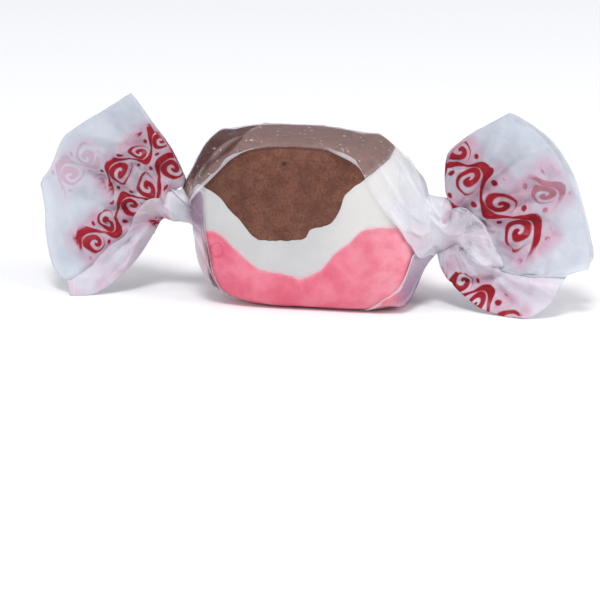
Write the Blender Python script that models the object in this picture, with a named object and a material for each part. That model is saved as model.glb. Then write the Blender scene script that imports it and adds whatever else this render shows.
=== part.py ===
"""One wrapped piece of three-layer salt-water taffy, standing on its flat underside.

Lengths are in metres. The twist of the wrapper runs along X, +Z is up and the open face looks
along -Y. The origin lies under the middle of the whole piece.
"""

import math

import bmesh
import bpy
from mathutils import Vector, noise

MM = 0.001

# Lump of taffy: a rounded block that leans to the left as it rises
LUMP_CENTRE = Vector((-1.1, -0.1, 12.1)) * MM
LUMP_HALF_LENGTH = 15.4 * MM
LUMP_HALF_DEPTH = 8.2 * MM
LUMP_HALF_HEIGHT = 12.0 * MM
LUMP_TOP_ROUNDNESS = 3.0
LUMP_FOOT_ROUNDNESS = 4.2
LUMP_FACE_ROUNDNESS = 6.0
LUMP_BACK_ROUNDNESS = 3.3
LUMP_LEAN = -0.16
LEAN_FADE_START = 0.8 * LUMP_HALF_LENGTH
LEAN_FADE = 6.0 * MM
LUMP_CUTS = 10
DENT_DEPTH = 0.035
DENT_SIZE = 9.0 * MM

# Layers: their lower edges on the face, as (x, height) in millimetres, run through the depth
CHOCOLATE_EDGE = (
    (-19.0, 11.5), (-15.2, 16.2), (-12.6, 16.4), (-9.4, 13.0), (-6.6, 10.6), (-0.6, 10.8),
    (3.4, 13.2), (5.6, 17.0), (8.4, 19.4), (11.5, 22.0), (17.0, 26.0),
)
STRAWBERRY_EDGE = (
    (-19.0, 9.0), (-12.6, 10.8), (-7.4, 6.6), (-0.8, 4.9), (2.6, 6.6),
    (6.4, 10.4), (9.4, 12.4), (17.0, 12.0),
)
LAYER_GAP = 0.3 * MM
LAYER_DRIFT = 0.8 * MM
DRIFT_LENGTH = 9.0 * MM
DRIFT_DEPTH = 5.0 * MM
LAYER_STEPS_ALONG = 36
LAYER_STEPS_ACROSS = 4
CUTTER_HALF_LENGTH = 19.0 * MM
CUTTER_HALF_DEPTH = 12.0 * MM
CUTTER_BASE = -4.0 * MM

# Wrapper: a sheet rolled round the lump and twisted shut on both sides
PAPER_WALL = 0.4 * MM
PAPER_CLEARANCE = 0.3 * MM
END_CLEARANCE = 0.3 * MM
GATHER_LENGTH = 8.0 * MM
GATHER_PLEATS = 6
GATHER_PLEAT_DEPTH = 0.03
NECK_ROUNDNESS = 2.2
RIM_SLIT = 3.0
WALL_SMOOTHING = 12.0
CONE_FULLNESS = 0.9

# Free edges of the sheet, as (x in millimetres, degrees up from the middle of the face)
UPPER_EDGE = (
    (-21.0, 16.0), (-18.0, 22.0), (-16.0, 38.0), (-12.2, 51.0), (-8.6, 56.0), (-3.0, 58.0),
    (3.0, 57.0), (6.6, 53.0), (9.4, 45.0), (10.6, 28.0), (12.6, 10.0), (14.4, -10.0),
    (16.0, -34.0), (18.4, -38.0),
)
LOWER_EDGE = (
    (-21.0, 8.0), (-18.0, 14.0), (-16.6, 14.0), (-15.2, -8.0), (-14.4, -40.0), (-13.0, -58.0),
    (-9.0, -74.0), (8.4, -74.0), (12.4, -64.0), (14.8, -54.0), (16.4, -48.0), (18.4, -48.0),
)
TWIST_START = 5.0 * MM
TWIST_WING_SHARE = 0.36

# Steps of the sheet, crowded towards the necks
STEPS_BODY = 32
STEPS_WING = 10
STEPS_ROUND = 36
NECK_CROWDING = 0.6
WING_CROWDING = 1.5


class Wing:
    """One fanned end of the wrapper, seen from its twisted neck."""

    def __init__(
        self, side, root, neck_half, fan, fan_swing, reach, sway, mouth, lip, gather, turn
    ):
        self.side = side
        self.root = Vector(root) * MM
        self.neck_half_depth, self.neck_half_height = (size * MM for size in neck_half)
        self.top_angle, self.bottom_angle = fan
        self.top_swing, self.bottom_swing = fan_swing
        self.reach = [size * MM for size in reach]
        self.sway = [size * MM for size in sway]
        self.mouth = mouth * MM
        self.lip_height = lip[0] * MM
        self.lip_ray, self.lip_start, self.lip_end = lip[1:]
        self.gather_top, self.gather_bottom = gather
        self.turn = turn


LEFT_WING = Wing(
    side=-1.0,
    root=(-20.8, -0.3, 12.7),
    neck_half=(2.0, 2.2),
    fan=(72.0, -41.0),
    fan_swing=(16.0, -14.0),
    reach=(17.0, 18.4, 18.4),
    sway=(-1.6, 1.4, -6.0),
    mouth=1.9,
    lip=(1.1, -36.0, 0.13, 0.80),
    gather=(1.35, 1.35),
    turn=120.0,
)
RIGHT_WING = Wing(
    side=1.0,
    root=(18.3, -0.3, 11.9),
    neck_half=(2.3, 3.8),
    fan=(60.0, -38.0),
    fan_swing=(24.0, -38.0),
    reach=(19.5, 21.0, 17.4),
    sway=(-2.0, 1.4, -5.0),
    mouth=2.0,
    lip=(1.4, -37.0, 0.25, 0.58),
    gather=(0.7, 0.85),
    turn=-120.0,
)
FOLD_ROUNDING = 0.35
NECK_ADVANCE = 0.8
FAN_OPEN_SHARE = 0.5
LIP_SPAN = 95.0
LIP_FALL = 0.095
LIP_WIDTH = 12.0
LIP_FADE_SHARE = 0.2
WAVE_DEPTH = 0.8 * MM
WAVE_COUNT = 2.5
WAVE_POWER = 1.5
FRONT_WAVE_PHASE = 0.4
BACK_WAVE_PHASE = 2.2
SWAY_POWER = 1.3
MOUTH_POWER = 0.7
MOUTH_FULLNESS = 0.6
RIM_SCALLOP = 0.5 * MM
RIM_CLEARANCE = 0.9 * MM

COLOURS = {
    "chocolate": ((0.200, 0.085, 0.052, 1.0), 0.45),
    "vanilla": ((0.760, 0.740, 0.720, 1.0), 0.40),
    "strawberry": ((0.860, 0.190, 0.260, 1.0), 0.40),
    "waxed_paper": ((0.620, 0.660, 0.740, 1.0), 0.35),
}


def clear_scene():
    for old in list(bpy.data.objects):
        bpy.data.objects.remove(old, do_unlink=True)


def ease(value):
    """Smooth step from 0 to 1 while the value goes from 0 to 1."""
    value = min(1.0, max(0.0, value))
    return value * value * (3.0 - 2.0 * value)


def mix(start, end, share):
    return start + (end - start) * share


def through_three(values, share):
    """Quadratic curve that takes the three values at shares 0, 0.5 and 1."""
    first = (2.0 * share - 1.0) * (share - 1.0)
    middle = 4.0 * share * (1.0 - share)
    last = share * (2.0 * share - 1.0)
    return values[0] * first + values[1] * middle + values[2] * last


def curve_value(points, position):
    """Height of a smooth curve through the points, flat beyond its ends."""
    if position <= points[0][0]:
        return points[0][1]
    last = len(points) - 1
    for index in range(last):
        (x0, y0), (x1, y1) = points[index], points[index + 1]
        if position > x1:
            continue
        before, after = points[max(index - 1, 0)], points[min(index + 2, last)]
        slope_0 = (y1 - before[1]) / (x1 - before[0])
        slope_1 = (after[1] - y0) / (after[0] - x0)
        width = x1 - x0
        share = (position - x0) / width
        square, cube = share**2, share**3
        return (
            y0 * (2.0 * cube - 3.0 * square + 1.0)
            + y1 * (3.0 * square - 2.0 * cube)
            + slope_0 * width * (cube - 2.0 * square + share)
            + slope_1 * width * (cube - square)
        )
    return points[-1][1]


def round_off(share, exponent):
    """Half size of a superellipse at a share of its other half size."""
    return max(0.0, 1.0 - abs(share) ** exponent) ** (1.0 / exponent)


def leaned(point):
    """Lean of the lump, which fades out towards the necks of the wrapper."""
    beyond = abs(point.x - LUMP_CENTRE.x) - LEAN_FADE_START
    weight = 1.0 - ease(beyond / LEAN_FADE)
    return Vector((point.x + LUMP_LEAN * (point.z - LUMP_CENTRE.z) * weight, point.y, point.z))


def lump_point(direction):
    """Point of the lump's surface in a direction from its centre."""
    along = abs(direction.x) / LUMP_HALF_LENGTH
    up = abs(direction.z) / LUMP_HALF_HEIGHT
    across = abs(direction.y) / LUMP_HALF_DEPTH
    upright = LUMP_TOP_ROUNDNESS if direction.z > 0.0 else LUMP_FOOT_ROUNDNESS
    level = LUMP_FACE_ROUNDNESS if direction.y < 0.0 else LUMP_BACK_ROUNDNESS
    outline = (along**upright + up**upright) ** (1.0 / upright)
    offset = direction * (outline**level + across**level) ** (-1.0 / level)
    dent = 0.5 + 0.5 * noise.noise(offset / DENT_SIZE)
    point = leaned(LUMP_CENTRE + offset * (1.0 - DENT_DEPTH * dent))
    point.z = max(point.z, PAPER_WALL + PAPER_CLEARANCE)
    return point


def new_object(name, mesh_builder, material):
    """Object whose mesh comes from the builder's bmesh, smooth but for its sharp edges."""
    mesh = bpy.data.meshes.new(name)
    shape = bmesh.new()
    mesh_builder(shape)
    shape.to_mesh(mesh)
    shape.free()
    mesh.shade_smooth()
    if material:
        mesh.materials.append(material)
    made = bpy.data.objects.new(name, mesh)
    bpy.context.scene.collection.objects.link(made)
    return made


def new_material(name):
    colour, roughness = COLOURS[name]
    material = bpy.data.materials.new(name)
    material.use_nodes = True
    shader = material.node_tree.nodes["Principled BSDF"]
    shader.inputs["Base Color"].default_value = colour
    shader.inputs["Roughness"].default_value = roughness
    shader.inputs["Metallic"].default_value = 0.0
    material.diffuse_color = colour
    return material


def build_lump(shape):
    """Cube divided into a fine grid, each point moved out to the lump's surface."""
    bmesh.ops.create_cube(shape, size=2.0)
    bmesh.ops.subdivide_edges(shape, edges=shape.edges, cuts=LUMP_CUTS, use_grid_fill=True)
    for vert in shape.verts:
        spread = Vector(math.tan(part * math.pi / 4.0) for part in vert.co)
        scaled = Vector(
            (
                spread.x * LUMP_HALF_LENGTH,
                spread.y * LUMP_HALF_DEPTH,
                spread.z * LUMP_HALF_HEIGHT,
            )
        )
        vert.co = lump_point(scaled)


def boundary_height(edge, x, y):
    """Height of the surface between two layers, which drifts a little with the depth."""
    drift = LAYER_DRIFT * math.sin(y / DRIFT_DEPTH + x / DRIFT_LENGTH)
    depth_share = ease((y + LUMP_HALF_DEPTH) / (2.0 * LUMP_HALF_DEPTH))
    return curve_value(edge, x / MM) * MM + drift * depth_share


def block_under(edge, offset):
    """Builder of a block that fills everything under a layer's lower edge."""

    def surface(x, y):
        return Vector((x, y, boundary_height(edge, x, y)))

    def build(shape):
        step = 0.1 * MM
        bmesh.ops.create_grid(
            shape, x_segments=LAYER_STEPS_ALONG, y_segments=LAYER_STEPS_ACROSS, size=1.0
        )
        for vert in shape.verts:
            x, y = vert.co.x * CUTTER_HALF_LENGTH, vert.co.y * CUTTER_HALF_DEPTH
            along = surface(x + step, y) - surface(x - step, y)
            across = surface(x, y + step) - surface(x, y - step)
            vert.co = surface(x, y) + along.cross(across).normalized() * offset
        walls = bmesh.ops.extrude_face_region(shape, geom=shape.faces[:])
        for vert in walls["geom"]:
            if isinstance(vert, bmesh.types.BMVert):
                vert.co.z = CUTTER_BASE
        bmesh.ops.recalc_face_normals(shape, faces=shape.faces)

    return build


def cut(target, cutter, operation):
    boolean = target.modifiers.new(operation.title(), "BOOLEAN")
    boolean.operation = operation
    boolean.object = cutter
    boolean.solver = "EXACT"


def hidden_cutter(name, builder):
    cutter = new_object(name, builder, None)
    cutter.hide_render = True
    cutter.display_type = "WIRE"
    return cutter


def make_layers():
    """Three layers of one lump, each cut from it by the surfaces above and below."""
    half_gap = LAYER_GAP / 2.0
    below_chocolate = hidden_cutter("below_chocolate", block_under(CHOCOLATE_EDGE, half_gap))
    below_seam = hidden_cutter("below_upper_seam", block_under(CHOCOLATE_EDGE, -half_gap))
    below_vanilla = hidden_cutter("below_vanilla", block_under(STRAWBERRY_EDGE, half_gap))
    strawberry_top = hidden_cutter("below_lower_seam", block_under(STRAWBERRY_EDGE, -half_gap))

    chocolate = new_object("chocolate_layer", build_lump, new_material("chocolate"))
    cut(chocolate, below_chocolate, "DIFFERENCE")
    vanilla = new_object("vanilla_layer", build_lump, new_material("vanilla"))
    cut(vanilla, below_seam, "INTERSECT")
    cut(vanilla, below_vanilla, "DIFFERENCE")
    strawberry = new_object("strawberry_layer", build_lump, new_material("strawberry"))
    cut(strawberry, strawberry_top, "INTERSECT")


def smooth_maximum(first, second):
    """Larger of two lengths, with the corner between them rounded."""
    return (first**WALL_SMOOTHING + second**WALL_SMOOTHING) ** (1.0 / WALL_SMOOTHING)


def nearer_wing(x):
    return LEFT_WING if x < LUMP_CENTRE.x else RIGHT_WING


def sleeve_point(x, angle, pleat):
    """Point of the paper round the lump and down to its necks, at an angle up from the front."""
    wing = nearer_wing(x)
    opened = min(1.0, abs(x - wing.root.x) / GATHER_LENGTH)
    eased = ease(opened)
    cosine, sine = math.cos(angle), math.sin(angle)
    upright = LUMP_TOP_ROUNDNESS if sine > 0.0 else LUMP_FOOT_ROUNDNESS
    level = LUMP_FACE_ROUNDNESS if cosine > 0.0 else LUMP_BACK_ROUNDNESS
    bulge = opened ** (wing.gather_top if sine > 0.0 else wing.gather_bottom) * CONE_FULLNESS
    share = (x - LUMP_CENTRE.x) / (LUMP_HALF_LENGTH + END_CLEARANCE)
    lump_depth = LUMP_HALF_DEPTH * round_off(share, level)
    lump_height = LUMP_HALF_HEIGHT * round_off(share, upright)
    cone_depth = mix(wing.neck_half_depth, LUMP_HALF_DEPTH, bulge)
    cone_height = mix(wing.neck_half_height, LUMP_HALF_HEIGHT, bulge)
    half_depth = smooth_maximum(lump_depth, cone_depth) + PAPER_CLEARANCE * eased
    half_height = smooth_maximum(lump_height, cone_height) + PAPER_CLEARANCE * eased
    roundness = mix(NECK_ROUNDNESS, level, eased)
    size = (abs(cosine / half_depth) ** roundness + abs(sine / half_height) ** roundness) ** (
        -1.0 / roundness
    )
    size *= 1.0 + pleat * (1.0 - eased)
    centre_y = mix(wing.root.y, LUMP_CENTRE.y, eased)
    centre_z = mix(wing.root.z, LUMP_CENTRE.z, eased)
    return leaned(Vector((x, centre_y - cosine * size, centre_z + sine * size)))


def lip_offset(wing, reach_share, elevation):
    """Step towards the viewer of the short fold that laps the fan near its neck."""
    fall = math.exp(-max(0.0, reach_share - wing.lip_start) / LIP_FALL)
    ray = wing.lip_ray + LIP_SPAN * fall
    inside = ease((ray - elevation) / LIP_WIDTH)
    fade = 1.0 - ease((reach_share - wing.lip_end) / LIP_FADE_SHARE + 1.0)
    return wing.lip_height * inside * fade


def wing_point(wing, reach_share, angle, pleat):
    """Point of a fan, at a share of its reach from the neck and an angle up from the front."""
    front = math.cos(angle) >= 0.0
    fold_share = 0.5 - math.asin(math.sin(angle)) / math.pi
    rounded = (1.0 - math.cos(math.pi * fold_share)) / 2.0
    eased = mix(fold_share, rounded, FOLD_ROUNDING)
    top = wing.top_angle + wing.top_swing * (1.0 - reach_share)
    bottom = wing.bottom_angle + wing.bottom_swing * (1.0 - reach_share)
    elevation = mix(top, bottom, eased)
    middle = math.sin(math.pi * fold_share)
    phase = FRONT_WAVE_PHASE if front else BACK_WAVE_PHASE
    wave = math.sin(2.0 * math.pi * WAVE_COUNT * eased + phase) * middle
    radius = (through_three(wing.reach, eased) + RIM_SCALLOP * wave) * reach_share
    sway = through_three(wing.sway, eased) * reach_share**SWAY_POWER
    opening = wing.mouth * reach_share**MOUTH_POWER * middle**MOUTH_FULLNESS
    depth = sway - opening if front else sway + opening
    depth += WAVE_DEPTH * wave * reach_share**WAVE_POWER
    if front:
        depth -= lip_offset(wing, reach_share, elevation)
    spread = math.radians(elevation)
    fan = Vector((wing.side * radius * math.cos(spread), depth, radius * math.sin(spread)))
    ring = Vector(
        (
            wing.side * radius * NECK_ADVANCE,
            -math.cos(angle) * wing.neck_half_depth * (1.0 + pleat),
            math.sin(angle) * wing.neck_half_height * (1.0 + pleat),
        )
    )
    point = wing.root + ring.lerp(fan, ease(reach_share / FAN_OPEN_SHARE))
    point.z = max(point.z, RIM_CLEARANCE)
    return point


def edge_angles(x, reach_share):
    """Angles of the sheet's free edges, which all but meet on the fans."""
    upper = curve_value(UPPER_EDGE, x / MM)
    lower = mix(curve_value(LOWER_EDGE, x / MM), upper - RIM_SLIT, reach_share)
    return math.radians(upper), math.radians(lower)


def twist(wing, x, reach_share):
    """How far the neck's twist has turned the sheet, from the lump out to the fan."""
    before = 1.0 - min(1.0, abs(x - wing.root.x) / TWIST_START)
    after = min(1.0, reach_share / TWIST_WING_SHARE)
    return math.radians(wing.turn) * ease((before + after) / 2.0)


def place_along(step):
    """Wing, place along X and share of the wing's reach at a step along the sheet."""
    body_step = step - STEPS_WING
    if body_step < 0.0:
        return LEFT_WING, LEFT_WING.root.x, (-body_step / STEPS_WING) ** WING_CROWDING
    if body_step > STEPS_BODY:
        reach_share = ((body_step - STEPS_BODY) / STEPS_WING) ** WING_CROWDING
        return RIGHT_WING, RIGHT_WING.root.x, reach_share
    share = body_step / STEPS_BODY
    share -= NECK_CROWDING * math.sin(2.0 * math.pi * share) / (2.0 * math.pi)
    x = mix(LEFT_WING.root.x, RIGHT_WING.root.x, share)
    return nearer_wing(x), x, 0.0


def paper_point(step, turn_share):
    """Place of a point of the flat sheet once it is rolled round the lump and twisted."""
    wing, x, reach_share = place_along(step)
    upper, lower = edge_angles(x, reach_share)
    angle = mix(upper, 2.0 * math.pi + lower, turn_share) + twist(wing, x, reach_share)
    pleat = GATHER_PLEAT_DEPTH * math.cos(2.0 * math.pi * GATHER_PLEATS * turn_share)
    if reach_share > 0.0:
        return wing_point(wing, reach_share, angle, pleat)
    point = sleeve_point(x, angle, pleat)
    point.z = max(point.z, PAPER_WALL)
    return point


def build_paper(shape):
    """Flat grid laid out as the sheet and rolled up, its quads split into triangles."""
    steps_along = STEPS_BODY + 2 * STEPS_WING
    bmesh.ops.create_grid(shape, x_segments=steps_along, y_segments=STEPS_ROUND, size=1.0)
    for vert in shape.verts:
        step = round((vert.co.x + 1.0) / 2.0 * steps_along)
        turn_share = (vert.co.y + 1.0) / 2.0
        vert.co = paper_point(step, turn_share)
    bmesh.ops.triangulate(shape, faces=shape.faces)


def make_wrapper():
    """Rolled sheet of waxed paper, given its wall outwards."""
    wrapper = new_object("wrapper", build_paper, new_material("waxed_paper"))
    wall = wrapper.modifiers.new("Wall", "SOLIDIFY")
    wall.thickness = PAPER_WALL
    wall.offset = 1.0
    wall.use_even_offset = False


clear_scene()
make_layers()
make_wrapper()
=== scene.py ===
"""One wrapped piece of three-layer salt-water taffy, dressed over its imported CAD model.

The taffy is a lump of chocolate, vanilla and strawberry layers. One sheet of waxed paper is
rolled round it and twisted shut at both ends. Lengths are in metres, the twist runs along X, the
open face looks along -Y, and angles round the lump count up from the middle of that face.
"""

import functools
import math
import random

import bmesh
import bpy
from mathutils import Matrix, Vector, noise


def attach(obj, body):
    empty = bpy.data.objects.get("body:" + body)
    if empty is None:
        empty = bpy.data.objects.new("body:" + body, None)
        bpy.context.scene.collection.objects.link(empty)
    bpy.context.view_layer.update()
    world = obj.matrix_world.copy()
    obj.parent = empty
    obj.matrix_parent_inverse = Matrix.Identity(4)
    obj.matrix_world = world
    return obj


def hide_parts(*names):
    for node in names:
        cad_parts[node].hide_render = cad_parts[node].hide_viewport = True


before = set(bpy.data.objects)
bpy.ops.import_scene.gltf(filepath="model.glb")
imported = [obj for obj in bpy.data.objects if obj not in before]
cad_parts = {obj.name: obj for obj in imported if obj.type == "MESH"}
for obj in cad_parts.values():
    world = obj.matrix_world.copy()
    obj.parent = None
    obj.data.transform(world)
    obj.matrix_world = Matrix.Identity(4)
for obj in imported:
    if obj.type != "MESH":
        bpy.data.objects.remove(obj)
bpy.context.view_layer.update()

MM = 0.001

# Lump of taffy: the rounded, leaning block of the CAD layers, grown out to the paper
LUMP_CENTRE = Vector((-1.1, -0.1, 12.2)) * MM
LUMP_HALF_LENGTH = 15.8 * MM
LUMP_HALF_DEPTH = 8.6 * MM
LUMP_HALF_HEIGHT = 12.5 * MM
LUMP_TOP_ROUNDNESS = 3.0
LUMP_FOOT_ROUNDNESS = 4.2
LUMP_FACE_ROUNDNESS = 6.0
LUMP_BACK_ROUNDNESS = 3.3
LUMP_LEAN = -0.16
LEAN_FADE_START = 0.8 * LUMP_HALF_LENGTH
LEAN_FADE = 6.0 * MM
LUMP_FLOOR = 0.2 * MM
LUMP_CUTS = 58
# Pulled ends that fill the cones of paper towards the necks, and how far short of them they stop
TAIL_FILL = 0.995
NECK_FILL = 0.94
TAIL_STOP = 1.6 * MM
LONGEST_REACH = 24.0 * MM
REACH_HALVINGS = 14
DENT_DEPTH = 0.03
DENT_SIZE = 9.0 * MM
# Marks pressed into the face, as (x, height, radius, depth) in millimetres
FACE_MARKS = ((-13.6, 8.4, 1.3, 0.22), (-2.8, 21.2, 0.7, 0.30), (-0.9, 14.6, 3.0, 0.14))
# Middle of the air pit, which is dented into the face and painted with shade
AIR_PIT = Vector((-2.8, 0.0, 21.2)) * MM
# Middle of the ring of painted shade on the strawberry, which stands for a crease
RING_SHADE_CENTRE = Vector((-12.6, 0.0, 8.3)) * MM
RIPPLE_DEPTH = 0.006
RIPPLE_SIZE = 2.6 * MM

# Lower edges of two layers on the face, as (x, height) in millimetres
CHOCOLATE_EDGE = (
    (-19.0, 12.5), (-15.6, 17.4), (-14.1, 17.2), (-12.0, 16.0), (-10.7, 14.4), (-9.2, 13.0),
    (-7.2, 10.7), (-5.7, 10.2), (-0.7, 10.5), (0.3, 10.9), (0.9, 12.0), (3.8, 13.1),
    (5.1, 15.0), (5.8, 17.1), (8.3, 19.3), (11.5, 21.8), (17.0, 26.0),
)
STRAWBERRY_EDGE = (
    (-19.0, 9.5), (-15.0, 10.9), (-12.3, 10.8), (-10.0, 8.8), (-7.2, 6.5), (-5.7, 5.8),
    (-1.9, 5.3), (-0.9, 4.8), (0.3, 5.1), (2.6, 6.5), (4.4, 8.7), (6.6, 10.5), (8.3, 12.2),
    (12.4, 12.7), (17.0, 11.6),
)
LAYER_DRIFT = 0.8 * MM
DRIFT_LENGTH = 9.0 * MM
DRIFT_DEPTH = 5.0 * MM
RAGGED_SIZE = 0.75 * MM
CHOCOLATE_RAGGED = 0.13 * MM
STRAWBERRY_RAGGED = 0.12 * MM
LAYER_STEPS_ALONG = 190
LAYER_STEPS_ACROSS = 18
CUTTER_HALF_LENGTH = 19.0 * MM
CUTTER_HALF_DEPTH = 12.0 * MM
CUTTER_BASE = -4.0 * MM
CUT_ANGLE = math.radians(35.0)

# Waxed paper
PAPER_THICKNESS = 0.06 * MM
PAPER_CLEARANCE = 0.08 * MM
LOWEST_PAPER = 0.07 * MM
GATHER_PLEATS = 9
GATHER_PLEAT_DEPTH = 0.035
PLEAT_UNEVENNESS = 0.9
NECK_ROUNDNESS = 2.2
SHOULDER_BLEND = 0.45 * MM
CONE_FULLNESS = 0.9
SEAM_LIFT = 0.34 * MM
SEAM_GAPE = 0.85 * MM
GAPE_X = 7.8 * MM
GAPE_WIDTH = 2.6 * MM
SEAM_LAP = 0.01
SEAM_FALL = 0.06
RIM_LAP = 9.0
RIM_LAP_START = 3.0
HAZE_GAP = 0.6
HAZE_SPAN = 3.0
DOUBLE_HAZE = 0.33
DOUBLE_FADE = 3.0
NECK_HAZE_RISE = 1.7
GATHERED_HAZE = 0.5
GATHERED_PART = 0.6
GATHERED_SHARE = 0.45
# Least haze of the flaps, which gives them the lighter rolled colour and more cover: painted light
# against the shade they face down into
FLAP_PAINTED_LIGHT = 0.6
GLOW_FADE = 0.7 * MM

# Free edges of the sheet, as (x in millimetres, degrees up from the middle of the face)
UPPER_EDGE = (
    (-21.0, 8.0), (-18.8, 8.0), (-16.2, 20.0), (-13.3, 33.0), (-9.6, 46.0), (-6.8, 52.0),
    (-2.8, 55.0), (4.4, 55.0), (6.9, 50.5), (9.3, 46.0), (9.9, 41.0), (11.1, 28.0),
    (12.2, 17.0), (13.5, 3.0), (14.1, -9.0), (14.7, -22.0), (15.8, -34.0), (18.4, -38.0),
)
LOWER_EDGE = (
    (-21.0, 26.0), (-18.0, 28.0), (-16.2, 30.0), (-15.1, 30.0), (-14.8, 12.0), (-14.5, -10.0),
    (-14.3, -44.0), (-12.8, -60.0), (-9.6, -73.0), (0.0, -75.0), (3.8, -68.0), (6.6, -60.0),
    (9.4, -52.0), (11.8, -47.0), (14.0, -38.0), (15.3, -27.0), (18.4, -20.0),
)
# Fold past which the paper over the top is single, as the free edges above
DOUBLE_EDGE = (
    (-21.0, 14.0), (-18.1, 24.0), (-12.1, 47.0), (-7.4, 62.0), (-6.6, 92.0), (-5.0, 130.0),
)
# The strip left of the face widens to the right as it rises: how far, where and how wide
STRIP_SHIFT = 1.5 * MM
STRIP_X = -14.6 * MM
STRIP_WIDTH = 1.6 * MM
STRIP_FOOT, STRIP_SPAN = -12.0, 44.0
TWIST_START = 4.2 * MM
TWIST_WING_SHARE = 0.34

# Steps of the sheet
STEPS_BODY = 150
STEPS_WING = 60
STEPS_ROUND = 168
NECK_CROWDING = 0.35
WING_CROWDING = 1.15

# Folds pressed into the paper, in millimetres
CREASE_SHARPNESS = 0.5
FOLD_BOLDNESS = 2.1
CREASE_LINE_WIDTH = 0.9


class Wing:
    """One fanned end of the wrapper, seen from its twisted neck.

    Elevations are in degrees above level, along the share of the fan's reach. The rim gives the
    reach in millimetres at each share of the fan, from its top edge to its bottom edge.
    """

    def __init__(
        self, side, root, neck_half, top_edge, bottom_edge, fold_edge, rim, sway, mouth,
        flap_height, flap_end, neck_length, gather_length, gather, clear, bottom_haze, turn,
        folds, bands,
    ):
        self.side = side
        self.root = Vector(root) * MM
        self.neck_half_depth, self.neck_half_height = (size * MM for size in neck_half)
        self.top_edge = top_edge
        self.bottom_edge = bottom_edge
        self.fold_edge = fold_edge
        self.rim = rim
        self.sway = [size * MM for size in sway]
        self.mouth = mouth * MM
        self.flap_height = flap_height * MM
        self.flap_end = flap_end
        self.neck_top, self.neck_bottom = (size * MM for size in neck_length)
        self.gather_length = gather_length * MM
        self.gather_top, self.gather_bottom, self.gather_depth = gather
        self.clear_top, self.clear_bottom = (size * MM for size in clear)
        self.bottom_haze = bottom_haze
        self.turn = turn
        self.folds = [Crease(*fold, lined=fold[-1] > 0.0) for fold in folds]
        self.front_band, self.flap_band, self.back_band = bands


class Crease:
    """A straight fold between two places on a flat map, in millimetres.

    A lined one shows as a pale line: partly wax cracked white along it, partly a painted highlight
    on its ridge.
    """

    def __init__(self, start, end, half_width, height, lined=False):
        self.start = Vector(start)
        self.along = Vector(end) - self.start
        self.length = self.along.length
        self.along /= self.length
        self.half_width = half_width
        self.height = FOLD_BOLDNESS * height * MM
        self.lined = lined

    def at(self, place):
        """Lift of the paper at a place, and how strongly the line of the fold shows there."""
        offset = place - self.start
        run = offset.dot(self.along)
        if run <= 0.0 or run >= self.length:
            return 0.0, 0.0
        away = abs(offset.cross(self.along))
        taper = math.sin(math.pi * run / self.length) ** CREASE_SHARPNESS
        line = taper * max(0.0, 1.0 - away / CREASE_LINE_WIDTH) if self.lined else 0.0
        return self.height * taper * max(0.0, 1.0 - away / self.half_width), line


class Band:
    """Rows of the print across a fan's flat map: where the middle row starts and its slant.

    Each row that is there has the length at which it starts and ends, and how strong its ink is:
    1 on the outside, less where it only shows through from a sheet behind. The lengths are those
    of the print at its own scale.
    """

    def __init__(self, start, slant, rows, tint=0.0, scale=1.0):
        self.start = Vector(start)
        self.tint = tint
        self.scale = scale
        turn = math.radians(slant)
        self.along = Vector((math.cos(turn), math.sin(turn)))
        self.rows = rows

    def place(self, flat):
        """Place along and across the rows with the strength of the ink, and the pink tint."""
        offset = (flat - self.start) / self.scale
        along, across = offset.dot(self.along), self.along.cross(offset)
        ink_there, tint = 0.0, self.tint
        for row, (first, last, strength) in self.rows.items():
            beside = abs(across - row * PRINT_ROW) - PRINT_ROW / 2.0
            beyond = max(first - along, along - last)
            if beside <= 0.0:
                ink_there = strength * ease(-beyond / INK_FADE)
            outside = math.hypot(max(beside, 0.0), max(beyond, 0.0))
            tint = max(tint, strength * (1.0 - ease(outside / TINT_SPREAD)))
        return Vector((along, across, ink_there)), tint


BARE = Band((0.0, 0.0), 0.0, {})

# Print, in millimetres: a running scroll of spirals in the bends of a waving ribbon
PRINT_CELL = 3.9
PRINT_ROW = 4.7
RIBBON_SWING = 1.75
RIBBON_SWELL = 0.40
RIBBON_THIN = 0.24
SPIRAL_RISE = 0.3
SPIRAL_RADIUS = 1.45
SPIRAL_PITCH = 1.2
SPIRAL_STROKE = 0.38
DOT_PLACE = 1.55
DOT_RADIUS = 0.32
INK_BLUR = 0.08
INK_FADE = 0.4
TINT_SPREAD = 1.5

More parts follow.
